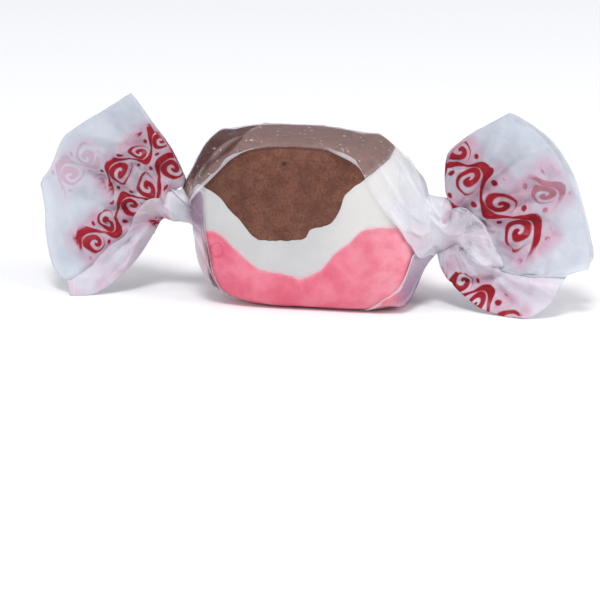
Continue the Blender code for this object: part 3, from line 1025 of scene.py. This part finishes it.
def patches(tree, place, size, edges, depths=(0.0, 1.0), detail=3.0, roughness=CLOUD_ROUGHNESS):
    """Mask of cloudy patches of a size in metres, which fades between two levels of the cloud."""
    cloud = node(tree, "TexNoise", place, 1.0 / size, detail, roughness)
    return node(tree, "MapRange SMOOTHSTEP", cloud, *edges, *depths)


def coats(tree, colour, *layers):
    """Lays coats over a colour in turn, each as strongly as its mask says."""
    for cover, shade in layers:
        colour = node(tree, "Mix RGBA", cover, colour, linear(shade))
    return colour


def pulled_grain(tree, place):
    """Bump of fine sugar grain and of broad, shallow waves left by the cutter.

    Real sugar grain is too fine to show, so it is drawn coarser.
    """
    waves = node(tree, "TexNoise", place, 1.0 / (2.4 * MM), 2.0, CLOUD_ROUGHNESS)
    grain = node(tree, "TexNoise", place, 1.0 / (0.22 * MM), 2.0, CLOUD_ROUGHNESS)
    broad = node(tree, "Bump", named={"Height": waves, "Distance": 0.25 * MM, "Strength": 0.5})
    fine = {"Height": grain, "Distance": 0.03 * MM, "Strength": 0.6, "Normal": broad}
    return node(tree, "Bump", named=fine)


def taffy_surface(tree, place, colour, roughness):
    """Pulled sugar: a soft satin skin over flesh that light sinks into."""
    skin = {
        "Base Color": colour,
        "Roughness": roughness,
        "IOR": 1.49,
        "Specular IOR Level": 0.35,
        "Subsurface Weight": 0.3,
        "Subsurface Radius": (1.0, 0.55, 0.4),
        "Subsurface Scale": 0.0009,
        "Normal": pulled_grain(tree, place),
    }
    return node(tree, "BsdfPrincipled", named=skin)


def distance_from(tree, place, mark):
    """Distance from a mark on the face, seen straight on."""
    level = node(tree, "VectorMath MULTIPLY", place, (1.0, 0.0, 1.0))
    return node(tree, "VectorMath DISTANCE", level, mark)


def bled(tree, place, raggedness, edges, depths):
    """Mask of the colour that bleeds across the line between strawberry and vanilla."""
    over = node(tree, "Attribute over_strawberry", output="Fac")
    ragged = node(tree, "TexNoise", place, 1.0 / (0.9 * MM), 3.0, CLOUD_ROUGHNESS)
    blur = node(tree, "Math MULTIPLY_ADD", ragged, raggedness, over)
    return node(tree, "MapRange SMOOTHSTEP", blur, *edges, *depths)


def chocolate_taffy(tree):
    """Cocoa-brown pulled taffy, mottled with fine dark grain, with painted shade in a small air pit
    and towards its left end.
    """
    place = node(tree, "TexCoord", output="Object")
    mottled = patches(tree, place, 2.6 * MM, (0.36, 0.64), detail=5.0, roughness=0.7)
    colour = node(tree, "Mix RGBA", mottled, linear("#623727"), linear("#7A4C3A"))
    along = node(tree, "SeparateXYZ", place, output="X")
    # Painted shade: the chocolate is darkened towards its left end, where its shoulder lies in
    # shade
    deeper = node(tree, "MapRange SMOOTHSTEP", along, -15.5 * MM, -8.0 * MM, 0.6, 0.0)
    torn = node(tree, "TexNoise", place, 1.0 / (0.5 * MM), 2.0, CLOUD_ROUGHNESS)
    # Painted shade in the air pit, darkest at its middle, with a torn edge
    away = distance_from(tree, place, AIR_PIT)
    away = node(tree, "Math MULTIPLY_ADD", torn, 0.5 * MM, away)
    pit = node(tree, "MapRange SMOOTHSTEP", away, 0.4 * MM, 0.8 * MM, 0.85, 0.0)
    grains = patches(tree, place, 0.36 * MM, (0.34, 0.58), (0.6, 0.0), roughness=0.75)
    specks = patches(tree, place, 1.1 * MM, (0.66, 0.72), (0.0, 0.6), roughness=0.65)
    colour = coats(
        tree, colour, (deeper, "#4A2A1E"), (pit, "#2C1610"), (grains, "#43251B"),
        (specks, "#3A2018"),
    )
    return taffy_surface(tree, place, colour, 0.55)


def vanilla_taffy(tree):
    """Off-white pulled taffy, paler to the right, with pink bleeding into its lower edge."""
    place = node(tree, "TexCoord", output="Object")
    cloud = node(tree, "TexNoise", place, 1.0 / (4.0 * MM), 3.0, CLOUD_ROUGHNESS)
    colour = node(tree, "Mix RGBA", cloud, linear("#B9BABA"), linear("#CACACA"))
    along = node(tree, "SeparateXYZ", place, output="X")
    paler = node(tree, "MapRange SMOOTHSTEP", along, 0.0, 9.0 * MM, 0.0, 0.7)
    pink = bled(tree, place, 0.9, (0.25, 1.15), (0.62, 0.0))
    colour = coats(tree, colour, (paler, "#DCD9D5"), (pink, "#E89BA6"))
    return taffy_surface(tree, place, colour, 0.5)


def strawberry_taffy(tree):
    """Rose-pink pulled taffy, deeper in patches and paler to the right and at the vanilla.

    A faint darker ring at the left is painted shade, standing for a crease pressed there.
    """
    place = node(tree, "TexCoord", output="Object")
    mottled = patches(tree, place, 4.2 * MM, (0.35, 0.7), detail=4.0, roughness=0.6)
    colour = node(tree, "Mix RGBA", mottled, linear("#D6627A"), linear("#E28094"))
    along = node(tree, "SeparateXYZ", place, output="X")
    faded = node(tree, "MapRange SMOOTHSTEP", along, 3.0 * MM, 15.0 * MM, 0.0, 0.5)
    streaks = patches(tree, place, 2.2 * MM, (0.38, 0.62), (0.45, 1.25), roughness=0.6)
    faded = node(tree, "Math MULTIPLY", faded, streaks)
    pale = bled(tree, place, 0.7, (-0.2, 0.45), (0.0, 0.5))
    # Painted shade: a thin darker ring, bent by noise, where a crease would shade the pink
    off_ring = node(tree, "Math ADD", distance_from(tree, place, RING_SHADE_CENTRE), -1.7 * MM)
    bent = node(tree, "TexNoise", place, 1.0 / (1.3 * MM), 1.0, CLOUD_ROUGHNESS)
    off_ring = node(tree, "Math MULTIPLY_ADD", bent, 1.4 * MM, off_ring)
    off_ring = node(tree, "Math ABSOLUTE", off_ring)
    ring = node(tree, "MapRange SMOOTHSTEP", off_ring, 0.05 * MM, 0.28 * MM, 0.5, 0.0)
    colour = coats(tree, colour, (faded, "#E5A5AD"), (pale, "#EAA3AE"), (ring, "#C8405E"))
    return taffy_surface(tree, place, colour, 0.45)


def length_of(tree, across, up):
    squares = node(tree, "Math MULTIPLY", across, across)
    return node(tree, "Math SQRT", node(tree, "Math MULTIPLY_ADD", up, up, squares))


def ink(tree, away, half_width):
    """Mask of what lies within half a stroke's width of its middle."""
    inside = node(tree, "Math SUBTRACT", half_width, away)
    return node(tree, "MapRange SMOOTHSTEP", inside, -INK_BLUR, INK_BLUR)


def scroll_print(tree):
    """Mask of the scroll in the rows that each zone of the paper has, and the ink's strength."""
    place = node(tree, "Attribute print_place", output="Vector")
    along, across, strength = (node(tree, "SeparateXYZ", place, output=axis) for axis in "XYZ")
    drift = node(tree, "TexNoise", place, 1.0 / 4.0, 0.0, CLOUD_ROUGHNESS)
    sway = node(tree, "TexNoise", place, 1.0 / 5.0, 0.0, CLOUD_ROUGHNESS)
    drift = node(tree, "Math SUBTRACT", drift, 0.5)
    sway = node(tree, "Math SUBTRACT", sway, 0.5)
    along = node(tree, "Math MULTIPLY_ADD", drift, 2.6, along)
    across = node(tree, "Math MULTIPLY_ADD", sway, 2.4, across)
    row = node(tree, "Math ROUND", node(tree, "Math DIVIDE", across, PRINT_ROW))
    across = node(tree, "Math MULTIPLY_ADD", row, -PRINT_ROW, across)
    cells = node(tree, "Math DIVIDE", along, PRINT_CELL)
    cells = node(tree, "Math MULTIPLY_ADD", row, 0.5, cells)
    odd = node(tree, "Math ABSOLUTE", node(tree, "Math FLOOR", cells))
    odd = node(tree, "Math MODULO", odd, 2.0)
    mirror = node(tree, "Math MULTIPLY_ADD", odd, -2.0, 1.0)
    run = node(tree, "Math SUBTRACT", node(tree, "Math FRACT", cells), 0.5)
    up = node(tree, "Math MULTIPLY", across, mirror)

    crest = node(tree, "Math COSINE", node(tree, "Math MULTIPLY", run, math.pi))
    line = node(tree, "Math ABSOLUTE", node(tree, "Math MULTIPLY_ADD", crest, RIBBON_SWING, up))
    ribbon = ink(tree, line, node(tree, "Math MULTIPLY_ADD", crest, RIBBON_SWELL, RIBBON_THIN))

    run = node(tree, "Math MULTIPLY", run, PRINT_CELL)
    rise = node(tree, "Math SUBTRACT", up, SPIRAL_RISE)
    radius = length_of(tree, run, rise)
    turn = node(tree, "Math DIVIDE", node(tree, "Math ARCTAN2", rise, run), 2.0 * math.pi)
    coil = node(tree, "Math MULTIPLY_ADD", radius, 1.0 / SPIRAL_PITCH, turn)
    off = node(tree, "Math SUBTRACT", node(tree, "Math FRACT", coil), 0.5)
    off = node(tree, "Math MULTIPLY", node(tree, "Math ABSOLUTE", off), SPIRAL_PITCH)
    spiral = ink(tree, off, SPIRAL_STROKE)
    spiral = node(tree, "Math MULTIPLY", spiral, ink(tree, radius, SPIRAL_RADIUS))

    beside = node(tree, "Math SUBTRACT", node(tree, "Math ABSOLUTE", run), 0.5 * PRINT_CELL)
    above = node(tree, "Math SUBTRACT", node(tree, "Math ABSOLUTE", up), DOT_PLACE)
    dots = ink(tree, length_of(tree, beside, above), DOT_RADIUS)
    mask = node(tree, "Math MAXIMUM", node(tree, "Math MAXIMUM", ribbon, spiral), dots)
    return node(tree, "Math MULTIPLY", mask, strength), strength


# Strip of paper in the shade left of the face: each edge's axis, and where it fades in, in mm
SHADED_STRIP = (
    ("X", -13.6, -15.0), ("X", -19.0, -17.4), ("Y", 1.5, -3.0), ("Z", 9.5, 12.5),
    ("Z", 18.5, 15.5),
)


def shaded_strip(tree, place):
    """Mask of the strip of paper in the shade."""
    mask = 1.0
    for axis, start, end in SHADED_STRIP:
        along = node(tree, "SeparateXYZ", place, output=axis)
        edge = node(tree, "MapRange SMOOTHSTEP", along, start * MM, end * MM)
        mask = node(tree, "Math MULTIPLY", mask, edge)
    return mask


def mauve_foot(tree, place, fan):
    """Mask of the shade at the foot of the lump, weaker at its left end and off the fans."""
    height = node(tree, "SeparateXYZ", place, output="Z")
    low = node(tree, "MapRange SMOOTHSTEP", height, 2.0 * MM, 12.0 * MM, 0.85, 0.0)
    low = node(tree, "Math MULTIPLY", low, node(tree, "Math SUBTRACT", 1.0, fan))
    along = node(tree, "SeparateXYZ", place, output="X")
    right = node(tree, "MapRange SMOOTHSTEP", along, -13.0 * MM, -4.0 * MM, 0.25, 1.0)
    return node(tree, "Math MULTIPLY", low, right)


def waxed_paper(tree, outside):
    """Waxed paper, thin and cloudy: clearer where it clings to the taffy, satin with wax.

    The outside carries the red print, which shows through to the inside as pale pink.
    """
    place = node(tree, "TexCoord", output="Object")
    haze = node(tree, "Attribute haze", output="Fac")
    tint = node(tree, "Attribute tint", output="Fac")
    out = out_of_neck(tree)
    fan = node(tree, "MapRange SMOOTHSTEP", out, 0.0, 0.5)
    clouds = node(tree, "TexNoise", place, 1.0 / (3.0 * MM), 4.0, 0.6)
    shaded = shaded_strip(tree, place)

    # Painted light: the rolled paper near the lump and the necks is painted lighter than the fanned
    # paper, against the shade that falls on the cones
    fanned = node(tree, "Mix RGBA", clouds, linear("#CCD3DD"), linear("#E8ECF2"))
    rolled = node(tree, "Mix RGBA", clouds, linear("#E9EBF3"), linear("#F8F8FB"))
    foot = mauve_foot(tree, place, fan)
    rolled = coats(tree, rolled, (foot, "#A98BB0"), (shaded, "#B095AB"))
    outer = node(tree, "MapRange SMOOTHSTEP", haze, 1.0, 1.4, 1.0, 0.0)
    outer = node(tree, "Math MULTIPLY", fan, outer)
    colour = node(tree, "Mix RGBA", outer, rolled, fanned)
    patchy = node(tree, "MapRange SMOOTHSTEP", clouds, 0.3, 0.65, 0.15, 0.85)
    blush = node(tree, "Math MULTIPLY", node(tree, "Math MULTIPLY", tint, fan), patchy)
    clinging = node(tree, "MapRange SMOOTHSTEP", haze, 0.3, 0.6, 1.0, 0.0)
    clung = node(tree, "Math MULTIPLY", node(tree, "Math MULTIPLY", tint, clinging), 0.9)
    clung = node(tree, "Math MAXIMUM", node(tree, "Math SUBTRACT", clung, fan), 0.0)
    ridges, lines = wrinkles(tree, place, out)
    pressed = node(tree, "Attribute crease", output="Fac")
    pressed = node(tree, "MapRange SMOOTHSTEP", pressed, 0.35, 0.85, 0.0, 0.35)
    calmer = node(tree, "Math MULTIPLY_ADD", fan, -0.6, 1.0)
    lines = node(tree, "Math MAXIMUM", lines, node(tree, "Math MULTIPLY", pressed, calmer))
    specks = patches(tree, place, 0.7 * MM, (0.655, 0.71), (0.0, 0.8), 2.0, 0.6)
    specks = node(tree, "Math MULTIPLY", specks, node(tree, "Math MULTIPLY", clinging, tint))
    edge = hem(tree, place)
    # Pale coat: the specks are the wax's own, while the crease lines and the hem are partly painted
    # highlight
    pale = node(tree, "Math MAXIMUM", node(tree, "Math MAXIMUM", lines, specks), edge)
    colour = coats(tree, colour, (blush, "#DFB2C8"), (clung, "#DFBFB6"), (pale, "#F2F2F6"))
    mask, strength = scroll_print(tree)
    ghost, full = ("#C9708F", "#A80C26") if outside else ("#DDA0B4", "#D98A9C")
    inked = node(tree, "MapRange SMOOTHSTEP", strength, 0.5, 0.9)
    red = node(tree, "Mix RGBA", inked, linear(ghost), linear(full))
    amount = node(tree, "Math MULTIPLY", mask, 1.0 if outside else 0.45)
    colour = node(tree, "Mix RGBA", amount, colour, red)

    cover = node(tree, "MapRange SMOOTHSTEP", haze, 0.0, 1.0, 0.02, 0.66)
    thick = node(tree, "MapRange SMOOTHSTEP", haze, 1.0, 1.5, 0.0, 0.27)
    cover = node(tree, "Math ADD", cover, thick)
    cover = node(tree, "Math MULTIPLY_ADD", specks, 0.4, cover)
    cover = node(tree, "Math MAXIMUM", cover, node(tree, "Math MULTIPLY", edge, 0.45))
    cover = node(tree, "Math MULTIPLY_ADD", lines, 0.4, cover)
    for part, least in ((shaded, 0.5), (mask, 0.97)):
        cover = node(tree, "Math MAXIMUM", cover, node(tree, "Math MULTIPLY", part, least))

    # Real fibres are too fine to show, so they are drawn coarser
    fibres = node(tree, "TexNoise", place, 1.0 / (0.5 * MM), 3.0, 0.7)
    folds = node(tree, "Bump", named={"Height": ridges, "Distance": 0.45 * MM, "Strength": 0.9})
    felted = {"Height": fibres, "Distance": 0.02 * MM, "Strength": 0.5, "Normal": folds}
    normal = node(tree, "Bump", named=felted)
    wax = {
        "Base Color": colour,
        "Roughness": 0.36,
        "IOR": 1.45,
        "Specular IOR Level": 0.4,
        "Normal": normal,
    }
    sheen = node(tree, "BsdfPrincipled", named=wax)
    glow = node(tree, "BsdfTranslucent", colour, normal)
    filtered = coats(tree, linear("#FFFFFF"), (clung, "#F1F0F4"))
    clear = node(tree, "BsdfTransparent", filtered)
    return node(tree, "MixShader", cover, clear, node(tree, "MixShader", 0.35, sheen, glow))


def out_of_neck(tree):
    """Distance from the neck on a fan's flat map, in millimetres, and 0 on the lump."""
    flat = node(tree, "Attribute fan_place", output="Vector")
    return length_of(tree, *(node(tree, "SeparateXYZ", flat, output=axis) for axis in "XY"))


def hem(tree, place):
    """Mask of the narrow doubled hem along the free edges of the sheet on the taffy, painted paler
    and thicker: partly the doubled paper, partly painted highlight where the edge catches the
    light.
    """
    flat = node(tree, "Attribute fan_place", output="Vector")
    turned = node(tree, "SeparateXYZ", flat, output="Z")
    inside = node(tree, "Math PINGPONG", turned, 0.5)
    width = patches(tree, place, 3.5 * MM, (0.35, 0.65), (0.003, 0.011), 1.0)
    edge = node(tree, "Math DIVIDE", inside, width)
    edge = node(tree, "MapRange SMOOTHSTEP", edge, 0.8, 1.1, 1.0, 0.0)
    along = node(tree, "SeparateXYZ", place, output="X")
    off_middle = node(tree, "Math ABSOLUTE", node(tree, "Math ADD", along, 1.8 * MM))
    ends = node(tree, "MapRange SMOOTHSTEP", off_middle, 3.0 * MM, 7.5 * MM, 0.25, 0.95)
    return node(tree, "Math MULTIPLY", edge, ends)


def wrinkles(tree, place, out):
    """Height of the sharp folds, and a mask of pale crease lines: partly wax cracked white, partly
    painted highlight on the fold ridges.

    Rays run out from the necks on the fans, and flat facets with straight edges lie everywhere.
    """
    flat = node(tree, "Attribute fan_place", output="Vector")
    run, rise = (node(tree, "SeparateXYZ", flat, output=axis) for axis in "XY")
    ray = node(tree, "Math MULTIPLY", node(tree, "Math ARCTAN2", rise, run), 6.0)
    polar = node(tree, "CombineXYZ", ray, node(tree, "Math MULTIPLY", out, 0.10))
    rays = node(tree, "TexNoise", polar, 1.0, 2.0, CLOUD_ROUGHNESS)
    rays = node(tree, "Math ABSOLUTE", node(tree, "Math SUBTRACT", rays, 0.5))
    outward = node(tree, "MapRange SMOOTHSTEP", out, 0.0, 3.0)
    height = node(tree, "Math MULTIPLY", node(tree, "Math MULTIPLY", rays, outward), -1.5)
    lines = 0.0
    for size, weight in ((6.0 * MM, 1.0), (2.6 * MM, 0.45)):
        edge = node(tree, "TexVoronoi DISTANCE_TO_EDGE", place, 1.0 / size)
        height = node(tree, "Math MULTIPLY_ADD", edge, weight * 2.4, height)
        cracked = patches(tree, place, 1.2 * size, (0.54, 0.66), detail=2.0)
        line = node(tree, "MapRange SMOOTHSTEP", edge, 0.0, 0.035, 0.3, 0.0)
        lines = node(tree, "Math MAXIMUM", lines, node(tree, "Math MULTIPLY", line, cracked))
    far = node(tree, "MapRange SMOOTHSTEP", out, 7.0, 14.0, 1.0, 0.35)
    near = node(tree, "MapRange SMOOTHSTEP", out, 0.0, 2.0, 0.5, 1.0)
    calm = node(tree, "Math MULTIPLY", far, near)
    return tuple(node(tree, "Math MULTIPLY", part, calm) for part in (height, lines))


def matt_paint(tree):
    """Matt white board, near enough to the studio's surroundings to fade into them."""
    board = {"Base Color": linear("#F8F8F9"), "Roughness": 0.8, "Specular IOR Level": 0.1}
    return node(tree, "BsdfPrincipled", named=board)


# Studio

PIXEL = 0.1433 * MM
FRAME_PIXELS = 600
LENS = 160.0
SENSOR = 36.0
AZIMUTH = math.radians(12.0)
ELEVATION = math.radians(15.0)
FOOT_COLUMN, FOOT_ROW = 316.0, 311.0
FACE_DEPTH = 7.5 * MM
FLOOR_HALF_SIZE = 3.0
# Soft lamps: name, place, width and power
LAMPS = (
    ("key_lamp", (0.05, -0.52, 0.95), 0.30, 5.6),
    ("left_lamp", (-0.75, -0.40, 0.35), 0.30, 1.3),
    ("right_lamp", (0.80, -0.20, 0.40), 0.40, 2.9),
)
LAMP_AIM = Vector((0.0, 0.0, 0.01))


def add_holder(name, data, place, toward):
    """Object for a camera or a lamp, turned to look along a direction."""
    holder = bpy.data.objects.new(name, data)
    bpy.context.scene.collection.objects.link(holder)
    holder.location = place
    holder.rotation_euler = toward.to_track_quat("-Z", "Y").to_euler()
    return holder


def make_camera():
    """Long lens at the angle of a low three-quarter view, the piece in the upper half."""
    outward = Vector(
        (
            math.sin(AZIMUTH) * math.cos(ELEVATION),
            -math.cos(AZIMUTH) * math.cos(ELEVATION),
            math.sin(ELEVATION),
        )
    )
    right = Vector((math.cos(AZIMUTH), math.sin(AZIMUTH), 0.0))
    up = outward.cross(right)
    centre = FRAME_PIXELS / 2.0
    rise = (FOOT_ROW - centre) * PIXEL - FACE_DEPTH * math.cos(AZIMUTH) * math.sin(ELEVATION)
    target = right * (centre - FOOT_COLUMN) * PIXEL + up * rise
    lens = bpy.data.cameras.new("studio_camera")
    lens.lens = LENS
    lens.sensor_width = SENSOR
    lens.clip_start = 0.01
    place = target + outward * (PIXEL * FRAME_PIXELS * LENS / SENSOR)
    bpy.context.scene.camera = add_holder("studio_camera", lens, place, -outward)


def build_floor(shape):
    bmesh.ops.create_grid(shape, x_segments=1, y_segments=1, size=FLOOR_HALF_SIZE)


def make_studio():
    """Pale floor, white surroundings and three soft lamps, well away so that they fall evenly."""
    board = new_material("matt_white_floor", matt_paint)
    new_piece("studio_floor", build_floor, None, [board])
    world = bpy.data.worlds.new("studio_surroundings")
    world.use_nodes = True
    background = world.node_tree.nodes["Background"]
    background.inputs["Color"].default_value = linear("#F7F8FC")
    background.inputs["Strength"].default_value = 0.62
    bpy.context.scene.world = world
    for name, place, width, power in LAMPS:
        lamp = bpy.data.lights.new(name, "AREA")
        lamp.shape = "DISK"
        lamp.size = width
        lamp.energy = power
        add_holder(name, lamp, place, LAMP_AIM - Vector(place))
    bpy.context.scene.view_settings.view_transform = "Standard"


make_taffy()
make_wrapper()
make_camera()
make_studio()

bpy.context.view_layer.update()
